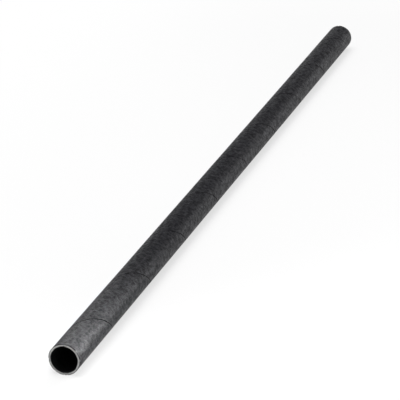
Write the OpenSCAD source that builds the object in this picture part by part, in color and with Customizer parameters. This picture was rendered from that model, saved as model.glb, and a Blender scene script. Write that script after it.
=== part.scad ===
// Plain paper drinking straw: three strips of paper wound on each other in a spiral, glued,
// and cut square at both ends. Where one turn of the outermost strip meets the next, a fine
// open seam is left, one ply deep, which runs along the outside as a helix. The innermost
// strip leaves another along the bore.
//
// The straw lies on its side along X. Its soft tube is pressed a little flat along the line
// that it lies on, which is on the surface at z = 0. The origin is under the middle of its
// length.

/* [Tube] */
// Outside diameter of the straw
outer_diameter = 6; // [4:0.5:12]
// Length from one cut end to the other
straw_length = 197; // [100:1:260]
// Width of the flat along the underside
flat_width = 0.8; // [0.4:0.1:1.4]

/* [Paper] */
// Thickness of one strip of paper with its glue
ply_thickness = 0.15; // [0.1:0.01:0.2]
// Number of strips wound on each other
ply_count = 3; // [3:1:4]

/* [Winding] */
// Turns that each seam makes from one end to the other
seam_turns = 9; // [6:1:14]
// Gap left between two turns of one strip, measured square to its edge
seam_gap = 0.15; // [0.1:0.01:0.3]
// Angle about the straw from the outer seam to the inner one
seam_stagger = 180; // [60:5:300]

/* [Hidden] */
outer_radius = outer_diameter / 2;
wall_thickness = ply_thickness * ply_count;
bore_radius = outer_radius - wall_thickness;

// The straw's axis is this high, so that the flat comes out at its width
axis_height = sqrt(pow(outer_radius, 2) - pow(flat_width / 2, 2));

// A seam advances this far along the straw in one full turn
seam_pitch = straw_length / seam_turns;
// Angle between the edge of a strip and the length of the straw
winding_angle = atan(PI * outer_diameter / seam_pitch);
// Round the straw, a slanting gap is wider than it is square to its edge
seam_arc = seam_gap / cos(winding_angle);

// Steps in one turn of a seam, and what one step is along the straw and about it
seam_steps = 24;
step_length = seam_pitch / seam_steps;
step_angle = 360 / seam_steps;

// How far a seam's cutter stands past the surface that it opens, and how far the other
// cutters run past the straw
cutter_margin = 0.2;
end_margin = 1;
// Sides of a round face
facets = 96;

function polar(radius, angle) = [radius * cos(angle), radius * sin(angle)];

// Half of the angle that an arc of this length covers at this radius
function half_angle(arc, radius) = arc / radius * 90 / PI;

// The space of one seam: a slot from radius low to radius high that winds along the straw,
// at angle start in the end faces, and runs one step past each end
module seam_space(low, high, half, start) {
    translate([0, 0, -step_length])
        rotate([0, 0, start - step_angle])
            linear_extrude(
                height = straw_length + 2 * step_length,
                twist = -360 * seam_turns - 2 * step_angle,
                slices = seam_turns * seam_steps + 2
            )
                polygon([polar(low, -half), polar(high, -half), polar(high, half), polar(low, half)]);
}

module outer_seam() {
    seam_space(
        outer_radius - ply_thickness,
        outer_radius + cutter_margin,
        half_angle(seam_arc, outer_radius),
        0
    );
}

module inner_seam() {
    seam_space(
        bore_radius - cutter_margin,
        bore_radius + ply_thickness,
        half_angle(seam_arc, bore_radius),
        seam_stagger
    );
}

module bore() {
    translate([0, 0, -end_margin])
        cylinder(r = bore_radius, h = straw_length + 2 * end_margin, $fn = facets);
}

// The wound tube, standing on its first end
module tube() {
    difference() {
        cylinder(r = outer_radius, h = straw_length, $fn = facets);
        bore();
        outer_seam();
        inner_seam();
    }
}

// What the surface that the straw lies on presses flat
module pressed_away() {
    translate([-straw_length / 2 - end_margin, -outer_radius, -end_margin])
        cube([straw_length + 2 * end_margin, outer_diameter, end_margin]);
}

module straw() {
    color("#1c1c1e")
        difference() {
            translate([-straw_length / 2, 0, axis_height])
                rotate([0, 90, 0])
                    tube();
            pressed_away();
        }
}

straw();
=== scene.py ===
import math

import bpy
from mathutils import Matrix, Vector


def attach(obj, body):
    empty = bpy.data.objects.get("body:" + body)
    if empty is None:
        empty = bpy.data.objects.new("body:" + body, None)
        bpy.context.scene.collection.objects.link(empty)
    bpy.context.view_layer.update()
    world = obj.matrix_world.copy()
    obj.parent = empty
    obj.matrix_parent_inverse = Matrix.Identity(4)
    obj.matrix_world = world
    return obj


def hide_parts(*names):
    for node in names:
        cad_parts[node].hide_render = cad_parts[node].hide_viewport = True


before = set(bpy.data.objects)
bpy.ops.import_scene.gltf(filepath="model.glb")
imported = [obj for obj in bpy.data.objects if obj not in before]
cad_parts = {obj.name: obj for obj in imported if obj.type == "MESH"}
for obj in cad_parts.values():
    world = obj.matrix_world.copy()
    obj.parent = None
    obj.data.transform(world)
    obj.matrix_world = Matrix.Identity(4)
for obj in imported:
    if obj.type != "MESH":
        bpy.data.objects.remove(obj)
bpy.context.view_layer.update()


# The straw: three narrow strips of black-faced paper, glued and wound on each other round a
# mandrel into a tube, then cut square at both ends by a rotary knife, which leaves the pale
# core of the paper bare. The outermost and the innermost strip each leave an open helical seam.

straw_diameter = 0.006
straw_length = 0.197
ply_count = 3
ply = 0.00015
paper_wall = ply_count * ply
pressed_flat = 0.0008
seam_turns = 9
seam_gap = 0.00015
straw_radius = straw_diameter / 2
axis_height = math.sqrt(straw_radius**2 - (pressed_flat / 2) ** 2)
winding_angle = math.atan(math.pi * straw_diameter * seam_turns / straw_length)
full_turn = 2 * math.pi
to_millimetres = 1000.0


def add(tree, kind, inputs=None, **settings):
    """One node of a tree, with its settings, its values and its links."""
    made = tree.nodes.new(kind)
    for name, value in settings.items():
        setattr(made, name, value)
    for key, value in (inputs or {}).items():
        if isinstance(value, bpy.types.NodeSocket):
            tree.links.new(value, made.inputs[key])
        else:
            made.inputs[key].default_value = value
    return made


def maths(tree, operation, *values):
    return add(tree, "ShaderNodeMath", dict(enumerate(values)), operation=operation).outputs[0]


def ramp(tree, value, low, high, to_low=0.0, to_high=1.0):
    """A smooth step from one value to another."""
    inputs = {"Value": value, 1: low, 2: high, 3: to_low, 4: to_high}
    return add(tree, "ShaderNodeMapRange", inputs, interpolation_type="SMOOTHSTEP").outputs[0]


def blend_colour(tree, factor, first, second):
    made = add(tree, "ShaderNodeMix", {0: factor, 6: first, 7: second}, data_type="RGBA")
    return made.outputs[2]


# The grain of the paper, which every face of it shows: a soft mottle of about a millimetre,
# fibres that run along the wound strip, and faint streaks that the guides rub along the straw.

paper_grain = bpy.data.node_groups.new("paper_grain", "ShaderNodeTree")
for name, value in (("Mottle Size", 1.0), ("Fibre Width", 0.1), ("Fibre Length", 1.2)):
    socket = paper_grain.interface.new_socket(name, in_out="INPUT", socket_type="NodeSocketFloat")
    socket.default_value = value
for name in ("Mottle", "Fibre", "Streak", "Relief"):
    paper_grain.interface.new_socket(name, in_out="OUTPUT", socket_type="NodeSocketFloat")

# Noise scales for each millimetre, and how much of the relief is mottle rather than fibre
mottle_scale = 0.8
streak_scale = (0.05, 2.4, 2.4)
mottle_share = 0.6

grain_in = add(paper_grain, "NodeGroupInput")
millimetres = add(
    paper_grain,
    "ShaderNodeVectorMath",
    {0: add(paper_grain, "ShaderNodeTexCoord").outputs["Object"], 1: (to_millimetres,) * 3},
    operation="MULTIPLY",
).outputs[0]
mottle = add(
    paper_grain,
    "ShaderNodeTexNoise",
    {
        "Vector": millimetres,
        "Scale": maths(paper_grain, "DIVIDE", mottle_scale, grain_in.outputs["Mottle Size"]),
        "Detail": 4.0,
        "Roughness": 0.6,
    },
).outputs[0]
along_strip, across_strip, _ = add(
    paper_grain,
    "ShaderNodeSeparateXYZ",
    {0: add(paper_grain, "ShaderNodeAttribute", attribute_name="strip").outputs["Vector"]},
).outputs
fibre_place = add(
    paper_grain,
    "ShaderNodeCombineXYZ",
    {
        0: maths(paper_grain, "DIVIDE", along_strip, grain_in.outputs["Fibre Length"]),
        1: maths(paper_grain, "DIVIDE", across_strip, grain_in.outputs["Fibre Width"]),
    },
).outputs[0]
fibre = add(
    paper_grain,
    "ShaderNodeTexNoise",
    {"Vector": fibre_place, "Scale": 1.0, "Detail": 3.0, "Roughness": 0.6, "Distortion": 0.25},
).outputs[0]
streak_place = add(
    paper_grain,
    "ShaderNodeVectorMath",
    {0: millimetres, 1: streak_scale},
    operation="MULTIPLY",
).outputs[0]
streak = add(
    paper_grain,
    "ShaderNodeTexNoise",
    {"Vector": streak_place, "Scale": 1.0, "Detail": 2.0, "Roughness": 0.5},
).outputs[0]
relief = maths(
    paper_grain,
    "ADD",
    maths(paper_grain, "MULTIPLY", mottle, mottle_share),
    maths(paper_grain, "MULTIPLY", fibre, 1 - mottle_share),
)
add(
    paper_grain,
    "NodeGroupOutput",
    {"Mottle": mottle, "Fibre": fibre, "Streak": streak, "Relief": relief},
)


def paper(name, roughness, gloss, bump, grain_sizes=None):
    """A paper material with its grain, its bump and its shader, ready for its colour."""
    material = bpy.data.materials.new(name)
    material.use_nodes = True
    tree = material.node_tree
    shader = tree.nodes["Principled BSDF"]
    shader.inputs["Roughness"].default_value = roughness
    shader.inputs["Specular IOR Level"].default_value = gloss
    looks = add(tree, "ShaderNodeGroup", grain_sizes, node_tree=paper_grain)
    raised = add(
        tree,
        "ShaderNodeBump",
        {"Height": looks.outputs["Relief"], "Distance": bump, "Strength": 1.0},
    )
    tree.links.new(raised.outputs[0], shader.inputs["Normal"])
    return material, tree, shader, looks.outputs


def attribute(tree, name):
    return add(tree, "ShaderNodeAttribute", attribute_name=name).outputs["Fac"]


# Outer face: matt black, paler and smoother where the fibres stand up, rubbed in faint streaks,
# deepest black and dull in the open seam, partly unrubbed ink and partly painted shade in its
# groove, and chipped to the pale core in a few places at the cut
hollow_ink = (0.002, 0.002, 0.003, 1)
raised_ink = (0.026, 0.026, 0.030, 1)
rubbed_ink = (0.045, 0.045, 0.049, 1)
seam_ink_and_shade = (0.002, 0.002, 0.002, 1)
pale_core = (0.52, 0.52, 0.51, 1)
cool_shine = (0.92, 0.92, 1.0, 1)
hollow_roughness = 0.62
raised_roughness = 0.38
seam_dulling = 0.5
most_roughness = 0.95
fibre_smoothing = 0.45

black_face, tree, shader, grain = paper(
    "black_face", roughness=0.5, gloss=0.12, bump=0.00011, grain_sizes={"Mottle Size": 0.65}
)
shader.inputs["Specular Tint"].default_value = cool_shine
inked = blend_colour(tree, ramp(tree, grain["Relief"], low=0.38, high=0.64), hollow_ink, raised_ink)
rubbing = ramp(tree, grain["Streak"], low=0.55, high=0.75, to_high=0.35)
rubbed = blend_colour(tree, rubbing, inked, rubbed_ink)
# Painted shade: the open seam is darkened to near black, for the shade in its groove as well as its
# unrubbed ink
seamed = blend_colour(tree, attribute(tree, "seam"), rubbed, seam_ink_and_shade)
chipped = blend_colour(tree, attribute(tree, "chip"), seamed, pale_core)
tree.links.new(chipped, shader.inputs["Base Color"])
smoothed = maths(
    tree,
    "MULTIPLY_ADD",
    grain["Fibre"],
    fibre_smoothing,
    maths(tree, "MULTIPLY", grain["Mottle"], 1 - fibre_smoothing),
)
rubbed_smooth = ramp(
    tree, smoothed, low=0.36, high=0.64, to_low=hollow_roughness, to_high=raised_roughness
)
dull_seam = maths(tree, "MULTIPLY_ADD", attribute(tree, "seam"), seam_dulling, rubbed_smooth)
tree.links.new(maths(tree, "MINIMUM", dull_seam, most_roughness), shader.inputs["Roughness"])

# Bore: the same black face, but raw and dull, because nothing has rubbed it
bore_hollow_ink = (0.005, 0.005, 0.006, 1)
bore_raised_ink = (0.014, 0.014, 0.015, 1)

bore_face, tree, shader, grain = paper("bore_face", roughness=0.85, gloss=0.1, bump=0.00003)
inked = blend_colour(
    tree, ramp(tree, grain["Mottle"], low=0.3, high=0.7), bore_hollow_ink, bore_raised_ink
)
tree.links.new(inked, shader.inputs["Base Color"])

# Cut edge: the pale core of the plies, with a thin line of glue between each two. The black
# face soaks a little way in, and the knife draws it unevenly over both edges of the rim.
grey_core = (0.34, 0.34, 0.34, 1)
glue = (0.20, 0.19, 0.18, 1)
soaked_black = (0.016, 0.016, 0.017, 1)
ragged_edge = 0.12

cut_edge, tree, shader, grain = paper(
    "cut_edge",
    roughness=0.85,
    gloss=0.3,
    bump=0.00002,
    grain_sizes={"Mottle Size": 0.25, "Fibre Width": 0.05},
)
core = blend_colour(tree, ramp(tree, grain["Mottle"], low=0.3, high=0.7), grey_core, pale_core)
into_ply = maths(tree, "FRACT", maths(tree, "MULTIPLY", attribute(tree, "depth"), float(ply_count)))
from_glue = maths(tree, "MINIMUM", into_ply, maths(tree, "SUBTRACT", 1.0, into_ply))
glue_line = ramp(tree, from_glue, low=0.0, high=0.16, to_low=0.55, to_high=0.0)
glued = blend_colour(tree, glue_line, core, glue)
from_middle = maths(tree, "ABSOLUTE", maths(tree, "SUBTRACT", attribute(tree, "depth"), 0.5))
drawn_over = maths(tree, "MULTIPLY_ADD", grain["Fibre"], ragged_edge, from_middle)
rimmed = blend_colour(tree, ramp(tree, drawn_over, low=0.31, high=0.39), glued, soaked_black)
tree.links.new(rimmed, shader.inputs["Base Color"])

# The tube is one Geometry Nodes tree: a sheet of faces that is bent round the axis, with its
# columns along the seams, and closed on itself through both cut ends and the bore.

wound = bpy.data.node_groups.new("wound_tube", "GeometryNodeTree")
wound.is_modifier = True
wound_sizes = {
    "Outer Diameter": straw_diameter,
    "Length": straw_length,
    "Paper Wall": paper_wall,
    "Ply": ply,
    "Axis Height": axis_height,
    "Seam Turns": float(seam_turns),
    "Seam Arc": seam_gap / math.cos(winding_angle),
    "Winding Angle": winding_angle,
    "Seam Lift": 0.000012,
    "Out Of Round": 0.00005,
    "Edge Rounding": 0.00003,
    "Chip Size": 0.00009,
    "Chip Reach": 0.0003,
    "Burr Size": 0.00008,
    "Burr Reach": 0.0005,
    "Weld Distance": 1e-7,
    "Seed": 4.0,
}
wound_counts = {"Columns": 128, "Wall Rows": 400, "Rim Rows": 16, "Bore Rows": 220}
wound_faces = {"Outer Face": black_face, "Bore Face": bore_face, "Edge Face": cut_edge}
identifiers = {}
for names, kind in (
    (wound_sizes, "NodeSocketFloat"),
    (wound_counts, "NodeSocketInt"),
    (wound_faces, "NodeSocketMaterial"),
):
    for name in names:
        socket = wound.interface.new_socket(name, in_out="INPUT", socket_type=kind)
        identifiers[name] = socket.identifier
wound.interface.new_socket("Geometry", in_out="OUTPUT", socket_type="NodeSocketGeometry")
size = add(wound, "NodeGroupInput").outputs


def calc(operation, *values):
    return maths(wound, operation, *values)


# Rows of the sheet: along the outside, over the far rim, back along the bore, over the near rim
outside_end = size["Wall Rows"]
far_rim_end = calc("ADD", outside_end, size["Rim Rows"])
bore_end = calc("ADD", far_rim_end, size["Bore Rows"])
last_row = calc("ADD", bore_end, size["Rim Rows"])
sheet = add(
    wound,
    "GeometryNodeMeshGrid",
    {
        "Size X": 1.0,
        "Size Y": last_row,
        "Vertices X": calc("ADD", size["Columns"], 1.0),
        "Vertices Y": calc("ADD", last_row, 1.0),
    },
)
place = add(wound, "ShaderNodeSeparateXYZ", {0: add(wound, "GeometryNodeInputPosition").outputs[0]})
column = calc("ADD", place.outputs[0], 0.5)
row = calc("ROUND", calc("ADD", place.outputs[1], calc("MULTIPLY", last_row, 0.5)))


def progress(first, last):
    """How far a row is from one row of the sheet to another, from 0 to 1."""
    inputs = {"Value": row, 1: first, 2: last, 3: 0.0, 4: 1.0}
    return add(wound, "ShaderNodeMapRange", inputs).outputs[0]


def eased(value, share, turns=1.0):
    """Rows or columns drawn together at the ends of a stretch, where the fine detail is."""
    wave = calc("SINE", calc("MULTIPLY", value, full_turn * turns))
    return calc("SUBTRACT", value, calc("MULTIPLY", wave, share / (full_turn * turns)))


on_outside = eased(progress(0.0, outside_end), share=0.6)
on_far_rim = eased(progress(outside_end, far_rim_end), share=0.75)
in_bore = eased(progress(far_rim_end, bore_end), share=0.6)
on_near_rim = eased(progress(bore_end, last_row), share=0.75)

# How deep in the wall, from the outside at 0 to the bore at 1
depth = calc("SUBTRACT", on_far_rim, on_near_rim)


def hump(across_rim, squareness=8.0):
    """0 at both edges of a rim, and nearly 1 over all of its width between them."""
    off_middle = calc("ABSOLUTE", calc("MULTIPLY_ADD", across_rim, 2.0, -1.0))
    return calc("POWER", calc("SUBTRACT", 1.0, calc("POWER", off_middle, squareness)), 0.5)


# Square-cut ends with slightly rounded edges: the barrel stops short of each end by the
# rounding, and the middle of the rim stands out past it
half_barrel = calc("SUBTRACT", calc("MULTIPLY", size["Length"], 0.5), size["Edge Rounding"])
there_and_back = calc("MULTIPLY_ADD", calc("SUBTRACT", on_outside, in_bore), 2.0, -1.0)
humps = calc("SUBTRACT", hump(on_far_rim), hump(on_near_rim))
along = calc("MULTIPLY_ADD", humps, size["Edge Rounding"], calc("MULTIPLY", there_and_back, half_barrel))

# Angle about the axis from the outer seam, with the columns drawn together at both seams, and
# then the angle from the underside, which the winding adds as the seam advances
from_seam = calc("MULTIPLY", eased(column, share=0.92, turns=2.0), full_turn)
share_along = calc("ADD", calc("DIVIDE", along, size["Length"]), 0.5)
wound_by = calc("MULTIPLY", calc("MULTIPLY", share_along, size["Seam Turns"]), full_turn)
angle = calc("ADD", from_seam, wound_by)
sine = calc("SINE", angle)
cosine = calc("COSINE", angle)

# Seams: each is one ply deep, and the strip's two edges lift a hair above the rest
outer_radius = calc("MULTIPLY", size["Outer Diameter"], 0.5)
inner_radius = calc("SUBTRACT", outer_radius, size["Paper Wall"])
to_outer_seam = calc("MINIMUM", from_seam, calc("SUBTRACT", full_turn, from_seam))
to_inner_seam = calc("ABSOLUTE", calc("SUBTRACT", from_seam, math.pi))
outer_half = calc("DIVIDE", size["Seam Arc"], size["Outer Diameter"])
inner_half = calc("DIVIDE", size["Seam Arc"], calc("MULTIPLY", inner_radius, 2.0))


def open_seam(distance, half, side=0.004):
    """1 in the open seam and 0 beside it. The distance, half its width and its side are angles."""
    low = calc("SUBTRACT", half, side)
    high = calc("ADD", half, side)
    return ramp(wound, distance, low, high, to_low=1.0, to_high=0.0)


outer_open = open_seam(to_outer_seam, outer_half)
inner_open = open_seam(to_inner_seam, inner_half)
lift_fade = 14.0
lifted = calc("EXPONENT", calc("MULTIPLY", calc("SUBTRACT", to_outer_seam, outer_half), -lift_fade))
lifted = calc("MINIMUM", lifted, 1.0)


def uneven(lengthways, lobes, seed, detail):
    """Noise that runs round the straw and meets itself, at a place along it."""
    spot = add(
        wound,
        "ShaderNodeCombineXYZ",
        {0: lengthways, 1: calc("MULTIPLY", cosine, lobes), 2: calc("MULTIPLY", sine, lobes)},
    ).outputs[0]
    return add(
        wound,
        "ShaderNodeTexNoise",
        {"Vector": spot, "W": seed, "Scale": 1.0, "Detail": detail},
        noise_dimensions="4D",
    ).outputs[0]


# The tube isn't quite round, except where it lies on its pressed flat
waves_per_metre = 22.0
unround = uneven(calc("MULTIPLY", along, waves_per_metre), lobes=0.7, seed=size["Seed"], detail=1.0)
off_flat = ramp(wound, cosine, low=0.45, high=0.9, to_low=1.0, to_high=0.0)
unround = calc("MULTIPLY", ramp(wound, unround, low=0.3, high=0.7), off_flat)

# Chips in the outer edge of both rims, where the knife has torn the face off the core
which_end = calc("SIGN", along)
end_distance = calc("SUBTRACT", half_barrel, calc("ABSOLUTE", along))
torn = uneven(which_end, lobes=3.2, seed=size["Seed"], detail=2.0)
near_cut = ramp(wound, end_distance, 0.0, size["Chip Reach"], to_low=1.0, to_high=0.0)
near_skin = ramp(wound, depth, low=0.0, high=0.35, to_low=1.0, to_high=0.0)
chip = calc("MULTIPLY", ramp(wound, torn, low=0.58, high=0.64), near_cut)
chip = calc("MULTIPLY", chip, near_skin)

# Burr that the knife pushes into the bore, uneven round each end
burr_seed = calc("ADD", size["Seed"], 9.0)
pushed = uneven(which_end, lobes=2.3, seed=burr_seed, detail=3.0)
near_mouth = ramp(wound, end_distance, 0.0, size["Burr Reach"], to_low=1.0, to_high=0.0)
burr = calc("MULTIPLY", ramp(wound, pushed, low=0.35, high=0.65), near_mouth)

# Radius of each point: the outside and the bore as the seams, chips and burr leave them, and
# the wall between the two by its depth
settled = calc("SUBTRACT", 1.0, lifted)
outer_here = calc("SUBTRACT", outer_radius, calc("MULTIPLY", outer_open, size["Ply"]))
outer_here = calc("SUBTRACT", outer_here, calc("MULTIPLY", settled, size["Seam Lift"]))
outer_here = calc("SUBTRACT", outer_here, calc("MULTIPLY", chip, size["Chip Size"]))
inner_here = calc("MULTIPLY_ADD", inner_open, size["Ply"], inner_radius)
inner_here = calc("SUBTRACT", inner_here, calc("MULTIPLY", burr, size["Burr Size"]))
radius = calc("SUBTRACT", outer_here, calc("MULTIPLY", depth, calc("SUBTRACT", outer_here, inner_here)))
radius = calc("SUBTRACT", radius, calc("MULTIPLY", unround, size["Out Of Round"]))
height = calc("SUBTRACT", size["Axis Height"], calc("MULTIPLY", radius, cosine))

# Where each point is on the unrolled strip in millimetres, for the fibres
arc = calc("MULTIPLY", from_seam, outer_radius)
strip_cosine = calc("COSINE", size["Winding Angle"])
across = calc("MULTIPLY", arc, strip_cosine)
down = calc(
    "ADD",
    calc("DIVIDE", along, strip_cosine),
    calc("MULTIPLY", arc, calc("SINE", size["Winding Angle"])),
)
unrolled = add(
    wound,
    "ShaderNodeCombineXYZ",
    {0: calc("MULTIPLY", down, to_millimetres), 1: calc("MULTIPLY", across, to_millimetres)},
).outputs[0]

# All values are worked out on the flat sheet, so they are stored before it is bent. The place
# on the strip jumps at the outer seam, so it is kept for each corner of a face.
marked = sheet
for name, value, kind, domain in (
    ("row", row, "FLOAT", "POINT"),
    ("strip", unrolled, "FLOAT_VECTOR", "CORNER"),
    ("depth", depth, "FLOAT", "POINT"),
    ("chip", chip, "FLOAT", "POINT"),
    ("seam", outer_open, "FLOAT", "POINT"),
):
    marked = add(
        wound,
        "GeometryNodeStoreNamedAttribute",
        {"Geometry": marked.outputs[0], "Name": name, "Value": value},
        data_type=kind,
        domain=domain,
    )
tube_place = add(
    wound,
    "ShaderNodeCombineXYZ",
    {0: along, 1: calc("MULTIPLY", radius, sine), 2: calc("MAXIMUM", height, 0.0)},
).outputs[0]
bent = add(
    wound, "GeometryNodeSetPosition", {"Geometry": marked.outputs[0], "Position": tube_place}
)

# Each face takes its material from its row. The row of faces at each edge of a rim has the
# black face that it is next to, which the knife draws over the edge.
row_of_face = add(
    wound, "GeometryNodeInputNamedAttribute", {"Name": "row"}, data_type="FLOAT"
).outputs[0]


def between(low, high):
    return calc(
        "MULTIPLY",
        calc("GREATER_THAN", row_of_face, low),
        calc("LESS_THAN", row_of_face, high),
    )


faced = add(
    wound,
    "GeometryNodeSetMaterial",
    {"Geometry": bent.outputs[0], "Material": size["Outer Face"]},
)
for first, last, face in (
    (calc("SUBTRACT", far_rim_end, 1.0), calc("ADD", bore_end, 1.0), "Bore Face"),
    (calc("ADD", outside_end, 1.0), calc("SUBTRACT", far_rim_end, 1.0), "Edge Face"),
    (calc("ADD", bore_end, 1.0), calc("SUBTRACT", last_row, 1.0), "Edge Face"),
):
    faced = add(
        wound,
        "GeometryNodeSetMaterial",
        {"Geometry": faced.outputs[0], "Selection": between(first, last), "Material": size[face]},
    )
closed = add(
    wound,
    "GeometryNodeMergeByDistance",
    {"Geometry": faced.outputs[0], "Distance": size["Weld Distance"]},
)
smooth = add(wound, "GeometryNodeSetShadeSmooth", {"Geometry": closed.outputs[0]})
realised = add(wound, "GeometryNodeRealizeInstances", {"Geometry": smooth.outputs[0]})
add(wound, "NodeGroupOutput", {0: realised.outputs[0]})

paper_straw = bpy.data.objects.new("paper_straw", bpy.data.meshes.new("paper_straw"))
bpy.context.scene.collection.objects.link(paper_straw)
winding = paper_straw.modifiers.new("winding", "NODES")
winding.node_group = wound
for name, value in {**wound_sizes, **wound_counts, **wound_faces}.items():
    winding[identifiers[name]] = value
bpy.context.view_layer.update()
depsgraph = bpy.context.evaluated_depsgraph_get()
tube = bpy.data.meshes.new_from_object(paper_straw.evaluated_get(depsgraph), depsgraph=depsgraph)
paper_straw.modifiers.remove(winding)
paper_straw.data = tube
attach(paper_straw, "root")
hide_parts("straw")


# The table top: a plain, pale sheet that the straw lies on, which curves up far away into a
# low backdrop. It lies a hair under the straw, so that the two don't flicker.

sheet_level = -2e-5
sheet_reach = 5.0
sheet_sides = 48
sweep_radius = 0.5
sweep_turns = (0, 0.4, 0.8, 1.2, math.pi / 2)
backdrop_height = 1.6
sheet_white = (0.93, 0.93, 0.93, 1)
profile = [
    (sheet_reach + math.sin(turn) * sweep_radius, sweep_radius - math.cos(turn) * sweep_radius)
    for turn in sweep_turns
]
profile += [(sheet_reach + sweep_radius, backdrop_height)]
sheet_points = [
    (out * math.cos(turn), out * math.sin(turn), up + sheet_level)
    for out, up in profile
    for turn in (full_turn * side / sheet_sides for side in range(sheet_sides))
]
sheet_faces = [tuple(range(sheet_sides))]
for ring in range(len(profile) - 1):
    for side in range(sheet_sides):
        low, high = ring * sheet_sides, (ring + 1) * sheet_sides
        following = (side + 1) % sheet_sides
        sheet_faces.append((low + side, high + side, high + following, low + following)[::-1])
table_top = bpy.data.objects.new("table_top", bpy.data.meshes.new("table_top"))
table_top.data.from_pydata(sheet_points, [], sheet_faces)
bpy.context.scene.collection.objects.link(table_top)

white_sheet = bpy.data.materials.new("white_sheet")
white_sheet.use_nodes = True
sheet_nodes = white_sheet.node_tree
sheet_shader = sheet_nodes.nodes["Principled BSDF"]
sheet_shader.inputs["Base Color"].default_value = sheet_white
sheet_shader.inputs["Roughness"].default_value = 0.9
sheet_shader.inputs["Specular IOR Level"].default_value = 0.1
ray = add(sheet_nodes, "ShaderNodeLightPath").outputs
seen = maths(
    sheet_nodes,
    "MAXIMUM",
    ray["Is Camera Ray"],
    maths(sheet_nodes, "MAXIMUM", ray["Is Glossy Ray"], ray["Is Transmission Ray"]),
)

# Near the straw the sheet shows some of its shadow, and further out it is plain white
sheet_x, sheet_y, _ = add(
    sheet_nodes,
    "ShaderNodeSeparateXYZ",
    {0: add(sheet_nodes, "ShaderNodeTexCoord").outputs["Object"]},
).outputs
past_end = maths(sheet_nodes, "SUBTRACT", maths(sheet_nodes, "ABSOLUTE", sheet_x), straw_length / 2)
past_end = maths(sheet_nodes, "MAXIMUM", past_end, 0.0)
from_straw = add(
    sheet_nodes,
    "ShaderNodeVectorMath",
    {0: add(sheet_nodes, "ShaderNodeCombineXYZ", {0: past_end, 1: sheet_y}).outputs[0]},
    operation="LENGTH",
).outputs["Value"]
plain = ramp(sheet_nodes, from_straw, low=0.012, high=0.08, to_low=0.7)
lit = add(
    sheet_nodes,
    "ShaderNodeMixShader",
    {
        0: maths(sheet_nodes, "MULTIPLY", seen, plain),
        1: sheet_shader.outputs[0],
        2: add(sheet_nodes, "ShaderNodeEmission", {"Strength": 1.0}).outputs[0],
    },
)
sheet_nodes.links.new(lit.outputs[0], sheet_nodes.nodes["Material Output"].inputs["Surface"])
table_top.data.materials.append(white_sheet)


# Light: an even white room and one large soft lamp overhead. A low lamp at the right draws a
# paler line along that flank, and an arch of seven small ones over the straw, brighter towards
# the right, shines in narrow beams past the near rim, for a sheen that fades away from it.

room = bpy.data.worlds.new("room")
bpy.context.scene.world = room
room.use_nodes = True
room.node_tree.nodes["Background"].inputs["Color"].default_value = (1, 1, 1, 1)
room.node_tree.nodes["Background"].inputs["Strength"].default_value = 0.22


def soft_lamp(name, place, target, width, watts, spread=180):
    """A square lamp that the camera doesn't see. Its spread is in degrees."""
    lamp = bpy.data.lights.new(name, "AREA")
    lamp.shape = "SQUARE"
    lamp.size = width
    lamp.energy = watts
    lamp.spread = math.radians(spread)
    holder = bpy.data.objects.new(name, lamp)
    bpy.context.scene.collection.objects.link(holder)
    holder.visible_camera = False
    holder.location = place
    holder.rotation_euler = (Vector(target) - Vector(place)).to_track_quat("-Z", "Y").to_euler()


soft_lamp("overhead", place=(-0.06, 0.05, 0.60), target=(0, 0, 0), width=0.45, watts=3.5)
soft_lamp("low_right", place=(1.2, -0.72, 0.05), target=(0, 0, 0), width=0.09, watts=1.1)

# The arch: its lamps stand 23 degrees apart on a ring over the straw, each about a third
# brighter than the one before, and all point past the near end, at one place on the table
arch_lamps = 7
arch_start = -58
arch_step = 23
arch_distance = 0.3
arch_inward = 0.86
arch_outward = 0.51
arch_watts = 0.0028
arch_growth = 1.35
arch_target = (-0.198, 0.0, 0.0)
near_end = Vector((-straw_length / 2, 0, axis_height))
for lamp in range(arch_lamps):
    turn = math.radians(arch_start + arch_step * lamp)
    direction = Vector((arch_inward, -arch_outward * math.sin(turn), arch_outward * math.cos(turn)))
    soft_lamp(
        f"arch_{lamp}",
        place=near_end + arch_distance * direction,
        target=arch_target,
        width=0.03,
        watts=arch_watts * arch_growth**lamp,
        spread=18,
    )


# Camera: it looks down on the lying straw along nearly the line on which the photo's camera saw
# it, 32.5 degrees off its axis at the near rim, and from about as far away.

heading = math.radians(17.4)
downward = math.radians(21.5)
distance = 0.495
aim = Vector((-0.0102, 0.0026, -0.0003))
sight = Vector(
    (
        math.cos(downward) * math.cos(heading),
        math.cos(downward) * math.sin(heading),
        -math.sin(downward),
    )
)
camera = bpy.data.cameras.new("camera")
camera.lens = 212
camera.sensor_width = 36
camera.clip_start = 0.01
camera.clip_end = 20
viewer = bpy.data.objects.new("camera", camera)
bpy.context.scene.collection.objects.link(viewer)
viewer.location = aim - sight * distance
viewer.rotation_euler = sight.to_track_quat("-Z", "Y").to_euler()
bpy.context.scene.camera = viewer
bpy.context.scene.view_settings.view_transform = "Standard"
